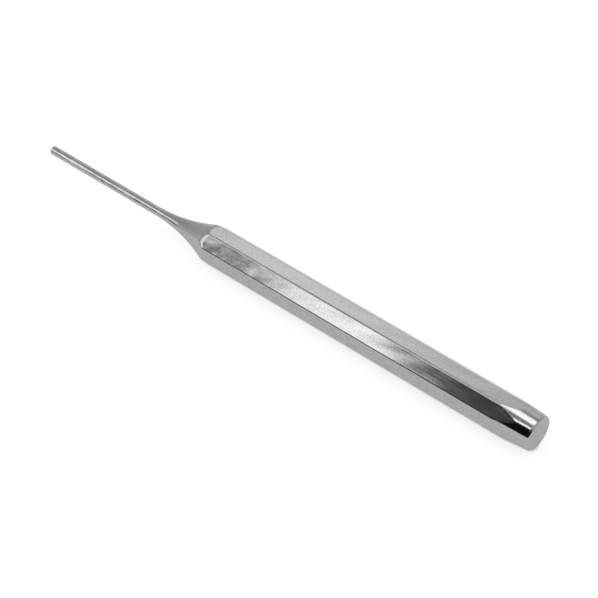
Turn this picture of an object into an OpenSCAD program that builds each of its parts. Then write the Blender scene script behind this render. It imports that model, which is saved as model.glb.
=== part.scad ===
// Pin punch: one bar of tool steel with a slim driving pin at one end and a
// tapered striking end at the other.
// The tool lies along X on one of its flats, with the driving pin towards -X.
// The origin is under the middle of its length, on the surface it lies on.

/* [Overall] */
// Length from the tip of the pin to the striking face
overall_length = 152.4; // [110:0.1:250]

/* [Shank] */
// Number of flats along the shank
flat_count = 8; // [6:2:12]
// Distance across two opposite flats
across_flats = 9.5; // [7:0.1:16]
// Radius of the long edges between the flats
edge_radius = 0.6; // [0.2:0.1:1.5]

/* [Driving pin] */
// Diameter of the pin, a little under that of the pins it drives out
pin_diameter = 2.3; // [1.2:0.1:5.9]
// Length of the straight part of the pin
pin_length = 36.3; // [15:0.1:60]
// Chamfer around the tip of the pin
tip_chamfer = 0.25; // [0.1:0.05:0.4]

/* [Neck] */
// Radius of the hollow flare between the pin and the shank
neck_radius = 47; // [20:1:80]

/* [Striking end] */
// Length over which the shank's edges taper in towards the striking face
head_taper_length = 10.3; // [5:0.1:20]
// Slope of that taper against the tool's axis, in degrees
head_taper_angle = 4; // [1:0.1:8]
// Radius around the rim of the striking face
rim_radius = 0.7; // [0.2:0.1:2]

/* [Hidden] */

$fn = 96;

// Height of the tool's axis over the surface, and reach of its sharp corners
axis_height = across_flats / 2;
corner_reach = axis_height / cos(180 / flat_count);

pin_radius = pin_diameter / 2;

// Places along the tool's axis, from the middle of its length
tip_at = -overall_length / 2;
face_at = overall_length / 2;
neck_at = tip_at + pin_length;
taper_at = face_at - head_taper_length;

// The taper starts at the corners, and its slope sets the size of the face
face_reach = corner_reach - head_taper_length * tan(head_taper_angle);

// Centre of the rim's arc, which touches the taper and the striking face
rim_at = face_at - rim_radius;
rim_reach = face_reach + rim_radius * tan(head_taper_angle) - rim_radius / cos(head_taper_angle);

// Centre of each long edge's arc, which touches both of its flats
edge_reach = corner_reach - edge_radius / cos(180 / flat_count);

// Section across the shank: flats with an arc at each long edge
module shank_section() {
    // Each arc touches its two flats half a flat's turn to either side
    touch = edge_radius * [cos(180 / flat_count), sin(180 / flat_count)];
    polygon([
        for (i = [0:flat_count - 1], side = [-1, 1])
            let (turn = 360 * (i + 0.5) / flat_count)
                edge_point(turn, edge_reach + touch.x, side * touch.y)
    ]);
    for (i = [0:flat_count - 1])
        rotate(360 * (i + 0.5) / flat_count)
            translate([edge_reach, 0])
                circle(r = edge_radius);
}

// A point out along a corner's direction and a step aside from it
function edge_point(turn, out, aside) =
    [out * cos(turn) - aside * sin(turn), out * sin(turn) + aside * cos(turn)];

// Half outline that is turned on the lathe: reach from the axis, then place
// along it
module turned_outline() {
    difference() {
        polygon([
            [0, tip_at],
            [pin_radius - tip_chamfer, tip_at],
            [pin_radius, tip_at + tip_chamfer],
            [pin_radius, neck_at],
            [corner_reach, neck_at],
            [corner_reach, taper_at],
            [rim_reach + rim_radius * cos(head_taper_angle), rim_at + rim_radius * sin(head_taper_angle)],
            [rim_reach, face_at],
            [0, face_at]
        ]);
        translate([pin_radius + neck_radius, neck_at])
            circle(r = neck_radius);
    }
    translate([rim_reach, rim_at])
        circle(r = rim_radius);
}

// The whole tool, from one bar: the flats of the bar inside the turned outline
module punch() {
    color("#b8babd")
        translate([0, 0, axis_height])
            rotate([0, 90, 0])
                intersection() {
                    linear_extrude(height = overall_length, center = true)
                        shank_section();
                    rotate_extrude()
                        turned_outline();
                }
}

punch();
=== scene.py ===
import math

import bpy
from mathutils import Matrix, Vector


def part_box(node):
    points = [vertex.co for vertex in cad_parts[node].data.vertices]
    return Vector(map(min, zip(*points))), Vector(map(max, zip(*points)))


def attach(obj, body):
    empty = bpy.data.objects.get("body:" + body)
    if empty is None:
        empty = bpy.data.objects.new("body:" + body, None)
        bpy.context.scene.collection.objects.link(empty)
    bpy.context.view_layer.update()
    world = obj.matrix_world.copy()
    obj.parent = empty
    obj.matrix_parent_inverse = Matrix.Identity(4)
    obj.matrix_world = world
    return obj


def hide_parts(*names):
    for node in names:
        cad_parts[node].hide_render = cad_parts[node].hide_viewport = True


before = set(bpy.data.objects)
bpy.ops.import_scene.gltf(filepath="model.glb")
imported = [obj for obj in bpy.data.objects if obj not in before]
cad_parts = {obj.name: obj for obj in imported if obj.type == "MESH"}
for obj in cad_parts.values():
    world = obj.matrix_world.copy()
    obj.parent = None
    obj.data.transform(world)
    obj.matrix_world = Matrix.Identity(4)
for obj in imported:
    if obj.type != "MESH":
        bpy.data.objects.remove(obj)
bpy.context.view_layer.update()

# Pin punch: one octagonal bar of polished tool steel, lying on one of its flats on white
# paper. Sizes are real ones in metres, and the tool's length and width come from the frame.

mm = 0.001
low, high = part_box("punch")
middle = (low + high) / 2
print("frame loaded, punch is", round((high.x - low.x) / mm, 2), "mm long")


def hexColour(text):
    # sRGB hex to the linear values that Blender works in
    parts = [int(text[i:i + 2], 16) / 255 for i in (1, 3, 5)]
    return [c / 12.92 if c <= 0.04045 else ((c + 0.055) / 1.055) ** 2.4 for c in parts] + [1]


def addNode(tree, kind, inputs=None, **settings):
    # adds a node, sets its options, then fills or links its inputs
    node = tree.nodes.new(kind)
    for name, value in settings.items():
        setattr(node, name, value)
    for socket, value in (inputs or {}).items():
        if isinstance(value, bpy.types.NodeSocket):
            tree.links.new(value, node.inputs[socket])
        else:
            node.inputs[socket].default_value = value
    return node


def newMaterial(name):
    material = bpy.data.materials.new(name)
    material.use_nodes = True
    material.node_tree.nodes.clear()
    return material


def direction(azimuth, elevation):
    # azimuth from +X towards +Y, elevation from the floor, both in degrees
    a, e = math.radians(azimuth), math.radians(elevation)
    return Vector((math.cos(a) * math.cos(e), math.sin(a) * math.cos(e), math.sin(e)))


# Tool steel, ground, polished and plated with nickel and a thin layer of chrome. To the eye
# it is a neutral grey mirror, a little cloudy, in which the belt's, the hand's and the wheel's
# marks bend what is mirrored. Slants are in degrees from the bar's length.
steel = {
    "thinPlate": "#9f9f9f",        # the plate's grey where it is thin, and where it is thick
    "thickPlate": "#aeaeae",
    "cloud": 0.5 * mm,             # size of the cloudy patches between the two
    "cloudLow": 0.35,              # the part of the noise that runs from thin to thick
    "cloudHigh": 0.65,
    "edgeTint": "#e0e0e0",         # chrome mirrors a little less towards grazing angles
    "roughness": 0.1,
    "roughnessSpread": 0.05,       # how far the belt's marks take it up and down
    "grain": 0.6,                  # how strong the finer layers of each noise are
    "waveAlong": 14 * mm,          # slow slanted waves that the belt left in each flat
    "waveAcross": 2.5 * mm,
    "waveSlant": -12,
    "waveHeight": 0.035 * mm,
    "handAlong": 6.5 * mm,         # hollows left by hand grinding, in the flats by the neck
    "handAcross": 3 * mm,
    "handSlant": -28,
    "handHeight": 0.065 * mm,
    "handFrom": -22 * mm,          # they fade out along the bar between these two places
    "handTo": 16 * mm,
    "handStart": (54.15, 7.68),    # where in the noise they begin, which picks their pattern
    "beltAlong": 6 * mm,           # belt marks, drawn about ten times coarser than real ones
    "beltAcross": 0.3 * mm,
    "beltHeight": 0.0006 * mm,
    "polishAlong": 2.5 * mm,       # marks of the last polish, slanted, as coarse
    "polishAcross": 0.4 * mm,
    "polishSlant": 50,
    "polishHeight": 0.0012 * mm,
    "wheelAlong": 0.35 * mm,       # wheel marks around the neck, pin and taper, as coarse
    "wheelAround": 0.5,            # and this share of a radian long
    "wheelHeight": 0.0008 * mm,
    "ringWidth": 0.3 * mm,         # turning rings on the striking face and tip, as coarse
    "ringHeight": 0.0006 * mm,
}


def platedSteel():
    material = newMaterial("chrome plated tool steel")
    tree = material.node_tree
    place = addNode(tree, "ShaderNodeTexCoord").outputs["Object"]
    x, y, z = addNode(tree, "ShaderNodeSeparateXYZ", {0: place}).outputs

    # Ways over the surface: along the bar and around its axis, and out from the axis
    up = addNode(tree, "ShaderNodeMath", {0: z, 1: middle.z}, operation="SUBTRACT").outputs[0]
    outward = addNode(tree, "ShaderNodeCombineXYZ", {1: y, 2: up}).outputs[0]
    reach = addNode(tree, "ShaderNodeVectorMath", {0: outward}, operation="LENGTH").outputs["Value"]
    facing = addNode(tree, "ShaderNodeVectorMath", {0: outward}, operation="NORMALIZE").outputs[0]
    _, facingY, facingZ = addNode(tree, "ShaderNodeSeparateXYZ", {0: facing}).outputs
    angle = addNode(tree, "ShaderNodeMath", {0: y, 1: up}, operation="ARCTAN2").outputs[0]
    girth = addNode(tree, "ShaderNodeMath", {
        0: angle, 1: middle.z,
    }, operation="MULTIPLY").outputs[0]
    turned = addNode(tree, "ShaderNodeCombineXYZ", {0: x, 1: facingY, 2: facingZ}).outputs[0]
    unrolled = addNode(tree, "ShaderNodeCombineXYZ", {0: x, 1: girth}).outputs[0]
    out = addNode(tree, "ShaderNodeCombineXYZ", {0: reach}).outputs[0]

    # The noise behind each kind of mark: its way, its size along that, its slant and detail
    noises = {}
    for name, way, sizes, slant, detail in (
        ("cloud", place, [steel["cloud"]] * 3, 0, 2),
        ("wave", unrolled, (steel["waveAlong"], steel["waveAcross"], 1), steel["waveSlant"], 0),
        ("hand", unrolled, (steel["handAlong"], steel["handAcross"], 1), steel["handSlant"], 1),
        ("belt", place, (steel["beltAlong"], steel["beltAcross"], steel["beltAcross"]), 0, 3),
        ("polish", unrolled, (steel["polishAlong"], steel["polishAcross"], 1),
         steel["polishSlant"], 2),
        ("wheel", turned, (steel["wheelAlong"], steel["wheelAround"], steel["wheelAround"]), 0, 3),
        ("ring", out, (steel["ringWidth"], 1, 1), 0, 3),
    ):
        if slant:
            way = addNode(tree, "ShaderNodeMapping", {
                "Vector": way, "Rotation": (0, 0, math.radians(slant)),
            }).outputs[0]
        scaled = addNode(tree, "ShaderNodeMapping", {
            "Vector": way, "Scale": [1 / size for size in sizes],
            "Location": (*steel.get(name + "Start", (0, 0)), 0),
        })
        noises[name] = addNode(tree, "ShaderNodeTexNoise", {
            "Vector": scaled.outputs[0], "Scale": 1.0, "Detail": float(detail),
            "Roughness": steel["grain"],
        }).outputs["Fac"]

    # The mesh says how each stretch was made: 0 on the flats, 1 where the bar was turned
    # or ground round, and 2 on its two ends. Each mark is a bump on the stretches it belongs to
    made = addNode(tree, "ShaderNodeAttribute", attribute_name="made").outputs["Fac"]
    nearNeck = addNode(tree, "ShaderNodeMapRange", {
        "Value": x, "From Min": steel["handFrom"], "From Max": steel["handTo"],
        "To Min": 1.0, "To Max": 0.0,
    }, interpolation_type="SMOOTHSTEP").outputs[0]
    normal = None
    marks = {"wave": 0, "hand": 0, "belt": 0, "polish": 0, "wheel": 1, "ring": 2}
    for name, kind in marks.items():
        share = addNode(tree, "ShaderNodeMath", {0: made, 1: kind, 2: 0.5}, operation="COMPARE")
        if name == "hand":
            share = addNode(tree, "ShaderNodeMath", {
                0: share.outputs[0], 1: nearNeck,
            }, operation="MULTIPLY")
        inputs = {
            "Height": noises[name], "Distance": steel[name + "Height"],
            "Strength": share.outputs[0],
        }
        if normal:
            inputs["Normal"] = normal
        normal = addNode(tree, "ShaderNodeBump", inputs).outputs[0]

    thickness = addNode(tree, "ShaderNodeMapRange", {
        "Value": noises["cloud"],
        "From Min": steel["cloudLow"], "From Max": steel["cloudHigh"],
    })
    colour = addNode(tree, "ShaderNodeMix", {
        0: thickness.outputs[0],
        6: hexColour(steel["thinPlate"]), 7: hexColour(steel["thickPlate"]),
    }, data_type="RGBA")
    roughness = addNode(tree, "ShaderNodeMapRange", {
        "Value": noises["belt"],
        "To Min": steel["roughness"] - steel["roughnessSpread"],
        "To Max": steel["roughness"] + steel["roughnessSpread"],
    })
    shader = addNode(tree, "ShaderNodeBsdfPrincipled", {
        "Base Color": colour.outputs[2],
        "Metallic": 1.0,
        "Specular Tint": hexColour(steel["edgeTint"]),
        "Roughness": roughness.outputs[0],
        "Normal": normal,
    })
    addNode(tree, "ShaderNodeOutputMaterial", {"Surface": shader.outputs[0]})
    return material


# The bar: an octagon with rounded edges, cut by an outline turned on the lathe.
bar = {
    "Overall Length": high.x - low.x,
    "Across Flats": high.z - low.z,
    "Flat Count": 8,
    "Edge Radius": 0.6 * mm,
    "Flat Hollow": 0.005 * mm,     # how far drawing left the middle of each flat below its sides
    "Pin Diameter": 2.3 * mm,
    "Pin Length": 36.3 * mm,
    "Tip Chamfer": 0.25 * mm,
    "Neck Radius": 47 * mm,
    "Taper Length": 10.3 * mm,
    "Taper Angle": math.radians(4),
    "Rim Radius": 0.7 * mm,
    "Shoulder Blend": 0.38 * mm,   # how soft polishing left the edge between neck and flats
    "Taper Blend": 0.004 * mm,     # the same at the striking end, whose edge is shallower
    "Edge Strip": 1.1 * mm,        # length of shank at each end that gets closer rows
}

# Rows of faces along each stretch of the outline, from the tip to the striking face
barRows = {
    "tipFace": 5, "chamfer": 1, "pin": 12, "neck": 56, "shankStart": 10, "shank": 24,
    "shankEnd": 8, "taper": 26, "rim": 10, "strikingFace": 12,
}
barCells = {"flat": 14, "edge": 8}   # columns of faces on each flat and each long edge
neckCrowding = 1.6                   # how much closer the neck's rows get towards the flats
endCrowding = 2                      # and the two ends' rows towards their borders
seamReach = 0.001 * mm               # points closer than this are one
crispAngle = math.radians(30)        # edges bent more than this stay sharp to the eye


def barTree(material):
    tree = bpy.data.node_groups.new("turned octagonal bar", "GeometryNodeTree")
    made = {}
    source = tree.nodes.new("NodeGroupInput")
    for name, value in bar.items():
        kind = "NodeSocketInt" if isinstance(value, int) else "NodeSocketFloat"
        tree.interface.new_socket(name, in_out="INPUT", socket_type=kind)
        made[name] = source.outputs[name]
    tree.interface.new_socket("Material", in_out="INPUT", socket_type="NodeSocketMaterial")
    tree.interface.new_socket("Geometry", in_out="OUTPUT", socket_type="NodeSocketGeometry")
    perFlat = barCells["flat"] + barCells["edge"]
    rows = sum(barRows.values())

    def follow(steps):
        # each step is a name, a sum and its terms, which are earlier names or numbers
        for name, operation, *terms in steps:
            inputs = {i: made.get(term, term) for i, term in enumerate(terms)}
            made[name] = addNode(tree, "ShaderNodeMath", inputs, operation=operation).outputs[0]

    follow([
        ("columns", "MULTIPLY", "Flat Count", perFlat),
        ("columnPoints", "ADD", "columns", 1),
    ])
    grid = addNode(tree, "GeometryNodeMeshGrid", {
        "Size X": 1.0, "Size Y": 1.0, "Vertices X": made["columnPoints"], "Vertices Y": rows + 1,
    })
    position = addNode(tree, "GeometryNodeInputPosition").outputs[0]
    parts = addNode(tree, "ShaderNodeSeparateXYZ", {0: position})
    made["around"], made["along"] = parts.outputs[0], parts.outputs[1]

    # Section: where this column is on its flat or long edge, and its reach from the axis
    follow([
        ("aroundShare", "ADD", "around", 0.5),
        ("columnPlace", "MULTIPLY", "aroundShare", "columns"),
        ("column", "ROUND", "columnPlace"),
        ("flatPlace", "DIVIDE", "column", perFlat),
        ("flatNumber", "FLOOR", "flatPlace"),
        ("firstColumn", "MULTIPLY", "flatNumber", perFlat),
        ("step", "SUBTRACT", "column", "firstColumn"),
        ("flatStep", "MINIMUM", "step", barCells["flat"]),
        ("flatTurns", "MULTIPLY", "flatStep", math.pi / barCells["flat"]),
        ("flatEased", "COSINE", "flatTurns"),
        ("edgeSteps", "SUBTRACT", "step", barCells["flat"]),
        ("edgeStep", "MAXIMUM", "edgeSteps", 0),
        ("edgeShare", "DIVIDE", "edgeStep", barCells["edge"]),
        ("turn", "DIVIDE", 2 * math.pi, "Flat Count"),
        ("halfTurn", "DIVIDE", "turn", 2),
        ("halfTurnTangent", "TANGENT", "halfTurn"),
        ("halfTurnCosine", "COSINE", "halfTurn"),
        ("axisHeight", "DIVIDE", "Across Flats", 2),
        ("cornerReach", "DIVIDE", "axisHeight", "halfTurnCosine"),
        ("innerReach", "SUBTRACT", "axisHeight", "Edge Radius"),
        ("innerHalf", "MULTIPLY", "innerReach", "halfTurnTangent"),
        ("flatSide", "MULTIPLY", "flatEased", "flatEased"),
        ("flatMiddle", "SUBTRACT", 1, "flatSide"),
        ("hollow", "MULTIPLY", "flatMiddle", "Flat Hollow"),
        ("flatReach", "SUBTRACT", "innerReach", "hollow"),
        ("asideBack", "MULTIPLY", "innerHalf", "flatEased"),
        ("aside", "MULTIPLY", "asideBack", -1),
        ("flatAngle", "MULTIPLY", "flatNumber", "turn"),
        ("edgeAngle", "MULTIPLY_ADD", "edgeShare", "turn", "flatAngle"),
        ("flatCosine", "COSINE", "flatAngle"),
        ("flatSine", "SINE", "flatAngle"),
        ("edgeCosine", "COSINE", "edgeAngle"),
        ("edgeSine", "SINE", "edgeAngle"),
        ("acrossOut", "MULTIPLY", "flatReach", "flatCosine"),
        ("acrossAside", "MULTIPLY", "aside", "flatSine"),
        ("acrossFlat", "SUBTRACT", "acrossOut", "acrossAside"),
        ("across", "MULTIPLY_ADD", "Edge Radius", "edgeCosine", "acrossFlat"),
        ("upOut", "MULTIPLY", "flatReach", "flatSine"),
        ("upFlat", "MULTIPLY_ADD", "aside", "flatCosine", "upOut"),
        ("up", "MULTIPLY_ADD", "Edge Radius", "edgeSine", "upFlat"),
        ("acrossSquare", "MULTIPLY", "across", "across"),
        ("reachSquare", "MULTIPLY_ADD", "up", "up", "acrossSquare"),
        ("sectionReach", "SQRT", "reachSquare"),
    ])

    # Row: how much of each stretch of the outline lies behind it, from 0 to 1
    follow([
        ("alongShare", "ADD", "along", 0.5),
        ("rowPlace", "MULTIPLY", "alongShare", rows),
        ("row", "ROUND", "rowPlace"),
    ])
    start = 0
    for name, count in barRows.items():
        made[name] = addNode(tree, "ShaderNodeMapRange", {
            "Value": made["row"], "From Min": float(start), "From Max": float(start + count),
        }).outputs[0]
        start += count

    # Places along the axis, and the turns that the neck's and the rim's arcs make
    follow([
        ("pinRadius", "DIVIDE", "Pin Diameter", 2),
        ("tipAt", "MULTIPLY", "Overall Length", -0.5),
        ("faceAt", "MULTIPLY", "Overall Length", 0.5),
        ("neckAt", "ADD", "tipAt", "Pin Length"),
        ("taperAt", "SUBTRACT", "faceAt", "Taper Length"),
        ("neckRise", "SUBTRACT", "sectionReach", "pinRadius"),
        ("neckShare", "DIVIDE", "neckRise", "Neck Radius"),
        ("neckCosine", "SUBTRACT", 1, "neckShare"),
        ("neckTurn", "ARCCOSINE", "neckCosine"),
        ("neckSine", "SINE", "neckTurn"),
        ("neckEnd", "MULTIPLY_ADD", "Neck Radius", "neckSine", "neckAt"),
        ("slope", "TANGENT", "Taper Angle"),
        ("taperCosine", "COSINE", "Taper Angle"),
        ("taperSine", "SINE", "Taper Angle"),
        ("cornerDrop", "SUBTRACT", "cornerReach", "sectionReach"),
        ("taperDelay", "DIVIDE", "cornerDrop", "slope"),
        ("taperStart", "ADD", "taperAt", "taperDelay"),
        ("faceDrop", "MULTIPLY", "Taper Length", "slope"),
        ("faceReach", "SUBTRACT", "cornerReach", "faceDrop"),
        ("rimSlant", "DIVIDE", "Rim Radius", "taperCosine"),
        ("rimOuter", "MULTIPLY_ADD", "Rim Radius", "slope", "faceReach"),
        ("rimReach", "SUBTRACT", "rimOuter", "rimSlant"),
        ("rimAt", "SUBTRACT", "faceAt", "Rim Radius"),
        ("taperEnd", "MULTIPLY_ADD", "Rim Radius", "taperSine", "rimAt"),
        ("taperEndReach", "MULTIPLY_ADD", "Rim Radius", "taperCosine", "rimReach"),
    ])

    # Rows are closer together where a flat or a crisp edge begins, so that it shades cleanly
    follow([
        ("neckLeft", "SUBTRACT", 1, "neck"),
        ("neckLeftEased", "POWER", "neckLeft", neckCrowding),
        ("neckEased", "SUBTRACT", 1, "neckLeftEased"),
        ("taperSwing", "MULTIPLY", "taper", math.pi),
        ("taperSwingCosine", "COSINE", "taperSwing"),
        ("taperEased", "MULTIPLY_ADD", "taperSwingCosine", -0.5, 0.5),
        ("faceEased", "POWER", "strikingFace", endCrowding),
        ("tipLeft", "SUBTRACT", 1, "tipFace"),
        ("tipLeftEased", "POWER", "tipLeft", endCrowding),
        ("tipEased", "SUBTRACT", 1, "tipLeftEased"),
    ])

    # The point's place along the axis and its reach from it, summed over the stretches
    follow([
        ("neckTurned", "MULTIPLY", "neckTurn", "neckEased"),
        ("neckTurnedSine", "SINE", "neckTurned"),
        ("neckTurnedCosine", "COSINE", "neckTurned"),
        ("rimTurnLeft", "SUBTRACT", math.pi / 2, "Taper Angle"),
        ("rimTurned", "MULTIPLY_ADD", "rimTurnLeft", "rim", "Taper Angle"),
        ("rimTurnedSine", "SINE", "rimTurned"),
        ("rimTurnedCosine", "COSINE", "rimTurned"),
        ("shankLength", "SUBTRACT", "taperStart", "neckEnd"),
        ("strips", "MULTIPLY", "Edge Strip", 2),
        ("shankMiddle", "SUBTRACT", "shankLength", "strips"),
        ("pinStraight", "SUBTRACT", "Pin Length", "Tip Chamfer"),
        ("taperRun", "SUBTRACT", "taperEnd", "taperStart"),
        ("taperFall", "SUBTRACT", "taperEndReach", "sectionReach"),
        ("x0", "MULTIPLY_ADD", "Tip Chamfer", "chamfer", "tipAt"),
        ("x1", "MULTIPLY_ADD", "pinStraight", "pin", "x0"),
        ("x2", "MULTIPLY_ADD", "Neck Radius", "neckTurnedSine", "x1"),
        ("x3", "MULTIPLY_ADD", "Edge Strip", "shankStart", "x2"),
        ("x4", "MULTIPLY_ADD", "shankMiddle", "shank", "x3"),
        ("x5", "MULTIPLY_ADD", "Edge Strip", "shankEnd", "x4"),
        ("x6", "MULTIPLY_ADD", "taperRun", "taperEased", "x5"),
        ("rimRun", "SUBTRACT", "rimTurnedSine", "taperSine"),
        ("x", "MULTIPLY_ADD", "Rim Radius", "rimRun", "x6"),
        ("tipFlat", "SUBTRACT", "pinRadius", "Tip Chamfer"),
        ("r0", "MULTIPLY", "tipFlat", "tipEased"),
        ("r1", "MULTIPLY_ADD", "Tip Chamfer", "chamfer", "r0"),
        ("neckGone", "SUBTRACT", 1, "neckTurnedCosine"),
        ("r2", "MULTIPLY_ADD", "Neck Radius", "neckGone", "r1"),
        ("r3", "MULTIPLY_ADD", "taperFall", "taperEased", "r2"),
        ("rimGone", "SUBTRACT", "rimTurnedCosine", "taperCosine"),
        ("r4", "MULTIPLY_ADD", "Rim Radius", "rimGone", "r3"),
        ("faceGone", "MULTIPLY", "rimReach", "faceEased"),
        ("sharpReach", "SUBTRACT", "r4", "faceGone"),
    ])

    # Polishing softens the two edges where the turned outline meets the flats: near them
    # the reach drops by a smooth minimum of the two surfaces
    follow([
        ("pastNeck", "SUBTRACT", "x", "neckAt"),
        ("pastNeckStart", "MAXIMUM", "pastNeck", 0),
        ("pastNeckSquare", "MULTIPLY", "pastNeckStart", "pastNeckStart"),
        ("neckSquare", "MULTIPLY", "Neck Radius", "Neck Radius"),
        ("arcSquare", "SUBTRACT", "neckSquare", "pastNeckSquare"),
        ("arcSquareKept", "MAXIMUM", "arcSquare", 0),
        ("arc", "SQRT", "arcSquareKept"),
        ("neckTop", "ADD", "pinRadius", "Neck Radius"),
        ("neckOutline", "SUBTRACT", "neckTop", "arc"),
        ("pastTaper", "SUBTRACT", "x", "taperAt"),
        ("taperDrop", "MULTIPLY", "pastTaper", "slope"),
        ("taperOutline", "SUBTRACT", "cornerReach", "taperDrop"),
        ("softReach", "ADD", "sharpReach", 0),
    ])
    for outline, blend in (("neckOutline", "Shoulder Blend"), ("taperOutline", "Taper Blend")):
        follow([
            ("gap", "SUBTRACT", outline, "sectionReach"),
            ("gapSize", "ABSOLUTE", "gap"),
            ("near", "SUBTRACT", blend, "gapSize"),
            ("nearKept", "MAXIMUM", "near", 0),
            ("nearSquare", "MULTIPLY", "nearKept", "nearKept"),
            ("blendFour", "MULTIPLY", blend, 4),
            ("drop", "DIVIDE", "nearSquare", "blendFour"),
            ("softReach", "SUBTRACT", "softReach", "drop"),
        ])
    follow([
        ("reachShare", "DIVIDE", "softReach", "sectionReach"),
        ("y", "MULTIPLY", "across", "reachShare"),
        ("z", "MULTIPLY_ADD", "up", "reachShare", "axisHeight"),
    ])
    point = addNode(tree, "ShaderNodeCombineXYZ", {0: made["x"], 1: made["y"], 2: made["z"]})
    shaped = addNode(tree, "GeometryNodeSetPosition", {
        "Geometry": grid.outputs[0], "Position": point.outputs[0],
    })
    # How each stretch was made, which the material reads: 0 flats, 1 turned, 2 the two ends
    follow([
        ("flatsBegin", "GREATER_THAN", "shankStart", 0),
        ("taperBegins", "GREATER_THAN", "taper", 0),
        ("turnedNotFlat", "SUBTRACT", "taperBegins", "flatsBegin"),
        ("turnedOrFlat", "ADD", "turnedNotFlat", 1),
        ("onTip", "LESS_THAN", "tipFace", 1),
        ("onFace", "GREATER_THAN", "strikingFace", 0),
        ("onEnds", "ADD", "onTip", "onFace"),
        ("made", "ADD", "turnedOrFlat", "onEnds"),
    ])
    marked = addNode(tree, "GeometryNodeStoreNamedAttribute", {
        "Geometry": shaped.outputs[0], "Name": "made", "Value": made["made"],
    }, data_type="FLOAT", domain="POINT")
    # Closes the seam along the bar and the poles at its two ends
    closed = addNode(tree, "GeometryNodeMergeByDistance", {
        "Geometry": marked.outputs[0], "Distance": seamReach,
    })
    smooth = addNode(tree, "GeometryNodeSetShadeSmooth", {"Geometry": closed.outputs[0]})
    angle = addNode(tree, "GeometryNodeInputMeshEdgeAngle")
    crisp = addNode(tree, "FunctionNodeCompare", {
        0: angle.outputs["Unsigned Angle"], 1: crispAngle,
    }, data_type="FLOAT", operation="GREATER_THAN")
    sharp = addNode(tree, "GeometryNodeSetShadeSmooth", {
        "Geometry": smooth.outputs[0], "Selection": crisp.outputs[0], "Shade Smooth": False,
    }, domain="EDGE")
    real = addNode(tree, "GeometryNodeRealizeInstances", {0: sharp.outputs[0]})
    finish = addNode(tree, "GeometryNodeSetMaterial", {
        "Geometry": real.outputs[0], "Material": source.outputs["Material"],
    })
    addNode(tree, "NodeGroupOutput", {0: finish.outputs[0]})
    return tree


def makeBar(material):
    holder = bpy.data.objects.new("barHolder", bpy.data.meshes.new("barHolder"))
    bpy.context.scene.collection.objects.link(holder)
    modifier = holder.modifiers.new("bar", "NODES")
    tree = barTree(material)
    modifier.node_group = tree
    for item in tree.interface.items_tree:
        if item.in_out == "INPUT":
            modifier[item.identifier] = material if item.name == "Material" else bar[item.name]
    bpy.context.view_layer.update()
    graph = bpy.context.evaluated_depsgraph_get()
    mesh = bpy.data.meshes.new_from_object(holder.evaluated_get(graph))
    mesh.name = "punch_body"
    bpy.data.objects.remove(holder)
    body = bpy.data.objects.new("punch_body", mesh)
    bpy.context.scene.collection.objects.link(body)
    return body


# Studio: white paper under the tool, a pale room, softboxes overhead and in front, a lit
# wall behind, and dark cards where the room on the camera's side is unlit. Brightness 1 is
# that of white paper, and the horizon and the zenith are the room's brightness there.
studio = {
    "paperColour": "#989898",
    "paperGlow": 0.8,           # what the paper adds to the light that falls on it
    "paintedShadeReach": 0.7 * mm,   # how close to the tool that added light fades, which paints a contact shadow on the paper
    "paintedShadeSamples": 8,
    "paperRadius": 6.0,
    "paperCorners": 64,
    "paperDrop": 0.05 * mm,     # keeps the paper clear of the flat that lies on it
    "horizon": 0.85,
    "zenith": 0.45,
}


def paperMaterial():
    # matt white paper: it adds what the lamps leave short of white, and keeps the shadow, so that
    # the tool stands on clean white; the added light fades near the tool, a painted contact shadow,
    # so it still touches it
    material = newMaterial("white paper floor")
    tree = material.node_tree
    paper = addNode(tree, "ShaderNodeBsdfDiffuse", {"Color": hexColour(studio["paperColour"])})
    path = addNode(tree, "ShaderNodeLightPath")
    cameraOrGlossy = addNode(tree, "ShaderNodeMath", {
        0: path.outputs["Is Camera Ray"], 1: path.outputs["Is Glossy Ray"],
    }, operation="MAXIMUM")
    seen = addNode(tree, "ShaderNodeMath", {
        0: cameraOrGlossy.outputs[0], 1: path.outputs["Is Transmission Ray"],
    }, operation="MAXIMUM")
    # ambient occlusion dims the added light close to the tool: painted contact shadow
    paintedContactShade = addNode(tree, "ShaderNodeAmbientOcclusion", {
        "Distance": studio["paintedShadeReach"],
    }, samples=studio["paintedShadeSamples"])
    glow = addNode(tree, "ShaderNodeMath", {
        0: paintedContactShade.outputs["AO"], 1: studio["paperGlow"],
    }, operation="MULTIPLY")
    strength = addNode(tree, "ShaderNodeMath", {
        0: seen.outputs[0], 1: glow.outputs[0],
    }, operation="MULTIPLY")
    light = addNode(tree, "ShaderNodeEmission", {"Strength": strength.outputs[0]})
    both = addNode(tree, "ShaderNodeAddShader", {0: paper.outputs[0], 1: light.outputs[0]})
    addNode(tree, "ShaderNodeOutputMaterial", {"Surface": both.outputs[0]})
    return material


def makeFloor():
    corners = studio["paperCorners"]
    radius = studio["paperRadius"]
    turns = [2 * math.pi * i / corners for i in range(corners)]
    points = [
        (radius * math.cos(t), radius * math.sin(t), -studio["paperDrop"]) for t in turns
    ]
    mesh = bpy.data.meshes.new("floor")
    mesh.from_pydata(points, [], [range(corners)])
    mesh.materials.append(paperMaterial())
    floor = bpy.data.objects.new("floor", mesh)
    bpy.context.scene.collection.objects.link(floor)


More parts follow.
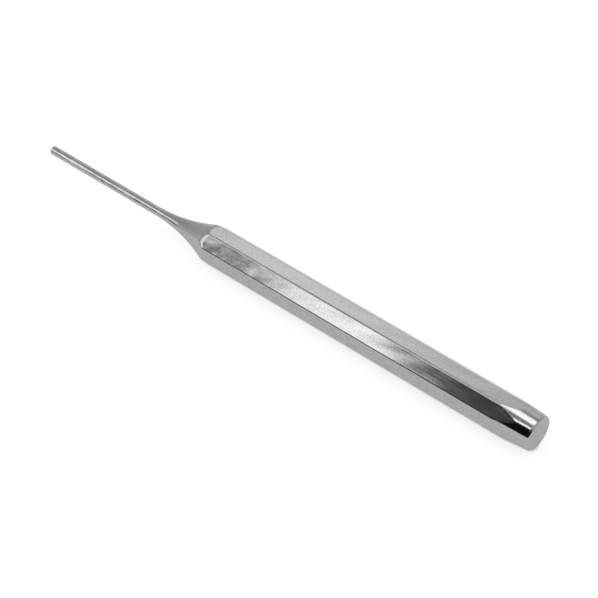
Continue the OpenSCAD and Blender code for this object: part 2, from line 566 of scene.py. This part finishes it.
# Each panel faces its aim, a place on the tool, apart from its turn in its own plane and its
# yaw about the vertical. Its brightness runs from its middle to its corners, from a spot over
# the reach around it, or from its left edge inwards over fadeWidth. A feathered one, like a
# lit patch of wall, fades into the room at its border.
panels = {
    "overheadSoftbox": dict(aim=(0.06, 0, 0), azimuth=140.1, elevation=83.4, turn=5.1,
                            distance=1.1, size=(0.638, 0.639), middle=2.8, corner=0.55),
    "frontSoftbox": dict(aim=(0.02, 0, 0), azimuth=-115.6, elevation=42.4, turn=-10.3,
                         distance=1.6, size=(0.44, 0.96), middle=2.35, corner=2.6, feather=0.09),
    "sideSoftbox": dict(aim=(-0.055, 0, 0), azimuth=-137.5, elevation=35, turn=3.9,
                        distance=1.6, size=(0.52, 1.0), middle=1.85, corner=1.7),
    "gapCard": dict(aim=(-0.01, 0, 0), azimuth=-126.7, elevation=28.4, turn=-3,
                    distance=1.5, size=(0.04, 0.34), left=0.25, inside=0.25, fadeWidth=0.04),
    "headSoftbox": dict(aim=(0.076, 0, 0), azimuth=-5, elevation=58,
                        distance=1.0, size=(0.9, 0.2), middle=1.9, corner=1.9),
    "backWall": dict(aim=(0.03, 0, 0), azimuth=117.3, elevation=29,
                     distance=1.6, size=(1.53, 1.76), middle=1.46, corner=0.96,
                     spot=(0.278, 0.409, 0), reach=0.42, feather=0.5),
    "tallCard": dict(aim=(0.05, 0, 0.4065), azimuth=-109.7, elevation=0, yaw=52.4,
                     distance=0.82, size=(0.65, 0.813), left=0.1, inside=0.012, fadeWidth=0.3),
    "footCard": dict(aim=(-0.05, 0, 0.04), azimuth=-128, elevation=0,
                     distance=0.47, size=(0.2, 0.08), left=0.05, inside=0.012, fadeWidth=0.1),
    "rightCard": dict(aim=(0.07, 0, 0.21), azimuth=-58, elevation=0,
                      distance=0.5, size=(0.95, 0.42), left=0.02, inside=0.012, fadeWidth=0.1),
    "lowCard": dict(aim=(0.05, 0, 0.17), azimuth=-96.2, elevation=0,
                    distance=0.48, size=(0.663, 0.34), left=0.05, inside=0.012, fadeWidth=0.3),
}


def panelMaterial(name, values):
    # a softbox's glowing cloth, or a card's near black, which the steel mirrors as its bands
    material = newMaterial(name)
    tree = material.node_tree
    place = addNode(tree, "ShaderNodeTexCoord").outputs["Object"]
    width, height = values["size"]
    if "spot" in values:
        away = addNode(tree, "ShaderNodeVectorMath", {
            0: place, 1: values["spot"],
        }, operation="DISTANCE")
        strength = addNode(tree, "ShaderNodeMapRange", {
            "Value": away.outputs["Value"], "From Max": values["reach"],
            "To Min": values["middle"], "To Max": values["corner"],
        }, interpolation_type="SMOOTHSTEP")
    elif "middle" in values:
        share = addNode(tree, "ShaderNodeVectorMath", {
            0: place, 1: (2 / width, 2 / height, 0),
        }, operation="MULTIPLY")
        # this is 0 in the middle and 2 at the corners
        outward = addNode(tree, "ShaderNodeVectorMath", {
            0: share.outputs[0], 1: share.outputs[0],
        }, operation="DOT_PRODUCT")
        strength = addNode(tree, "ShaderNodeMapRange", {
            "Value": outward.outputs["Value"], "From Max": 2.0,
            "To Min": values["middle"], "To Max": values["corner"],
        })
    else:
        parts = addNode(tree, "ShaderNodeSeparateXYZ", {0: place})
        strength = addNode(tree, "ShaderNodeMapRange", {
            "Value": parts.outputs["X"],
            "From Min": -width / 2, "From Max": -width / 2 + values["fadeWidth"],
            "To Min": values["left"], "To Max": values["inside"],
        }, interpolation_type="SMOOTHSTEP")
    light = addNode(tree, "ShaderNodeEmission", {"Strength": strength.outputs[0]})
    if "feather" in values:
        size = addNode(tree, "ShaderNodeVectorMath", {0: place}, operation="ABSOLUTE")
        left = addNode(tree, "ShaderNodeVectorMath", {
            0: (width / 2, height / 2, 0), 1: size.outputs[0],
        }, operation="SUBTRACT")
        x, y, _ = addNode(tree, "ShaderNodeSeparateXYZ", {0: left.outputs[0]}).outputs
        nearest = addNode(tree, "ShaderNodeMath", {0: x, 1: y}, operation="MINIMUM")
        share = addNode(tree, "ShaderNodeMapRange", {
            "Value": nearest.outputs[0], "From Max": values["feather"],
        }, interpolation_type="SMOOTHSTEP")
        clear = addNode(tree, "ShaderNodeBsdfTransparent")
        light = addNode(tree, "ShaderNodeMixShader", {
            0: share.outputs[0], 1: clear.outputs[0], 2: light.outputs[0],
        })
    addNode(tree, "ShaderNodeOutputMaterial", {"Surface": light.outputs[0]})
    return material


def makePanel(name, values):
    w, h = values["size"][0] / 2, values["size"][1] / 2
    mesh = bpy.data.meshes.new(name)
    mesh.from_pydata([(-w, -h, 0), (w, -h, 0), (w, h, 0), (-w, h, 0)], [], [(0, 1, 2, 3)])
    mesh.materials.append(panelMaterial(name, values))
    panel = bpy.data.objects.new(name, mesh)
    back = direction(values["azimuth"], values["elevation"])
    side = Vector((0, 0, 1)).cross(back).normalized()
    axes = Matrix((side, back.cross(side), back)).transposed().to_4x4()
    turn = Matrix.Rotation(math.radians(values.get("turn", 0)), 4, "Z")
    yaw = Matrix.Rotation(math.radians(values.get("yaw", 0)), 4, "Z")
    place = Matrix.Translation(Vector(values["aim"]) + back * values["distance"])
    panel.matrix_world = place @ yaw @ axes @ turn
    panel.visible_camera = False
    bpy.context.scene.collection.objects.link(panel)


def makeWorld():
    # a pale room, a little greyer towards the ceiling
    world = bpy.data.worlds.new("studio")
    world.use_nodes = True
    bpy.context.scene.world = world
    tree = world.node_tree
    tree.nodes.clear()
    way = addNode(tree, "ShaderNodeTexCoord").outputs["Generated"]
    height = addNode(tree, "ShaderNodeSeparateXYZ", {0: way}).outputs["Z"]
    room = addNode(tree, "ShaderNodeMapRange", {
        "Value": height, "To Min": studio["horizon"], "To Max": studio["zenith"],
    })
    background = addNode(tree, "ShaderNodeBackground", {
        "Color": hexColour("#ffffff"), "Strength": room.outputs[0],
    })
    addNode(tree, "ShaderNodeOutputWorld", {"Surface": background.outputs[0]})


# The photograph's view, found from the tool's long edges, end face, taper, neck and tip
camera = {
    "place": Vector((229.996, -270.629, 341.544)) * mm,
    "right": Vector((0.76643819, 0.64227775, 0.00719725)),
    "up": Vector((-0.44981196, 0.52870010, 0.71982317)),
    "focalPixels": 2038.3,
    "framePixels": 598,
    "sensorWidth": 36,   # in mm, as lenses are
}


def makeCamera():
    lens = bpy.data.cameras.new("camera")
    lens.sensor_width = camera["sensorWidth"]
    lens.lens = camera["focalPixels"] / camera["framePixels"] * lens.sensor_width
    view = bpy.data.objects.new("camera", lens)
    right, up = camera["right"].normalized(), camera["up"].normalized()
    axes = Matrix((right, up, right.cross(up))).transposed()
    view.matrix_world = Matrix.Translation(camera["place"]) @ axes.to_4x4()
    bpy.context.scene.collection.objects.link(view)
    bpy.context.scene.camera = view


makeCamera()
makeWorld()
makeFloor()
for name, values in panels.items():
    makePanel(name, values)
print("studio ready")

body = makeBar(platedSteel())
print("bar made,", len(body.data.polygons), "faces")
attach(body, "root")
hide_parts("punch")

bpy.context.scene.view_settings.view_transform = "Standard"

print("done")
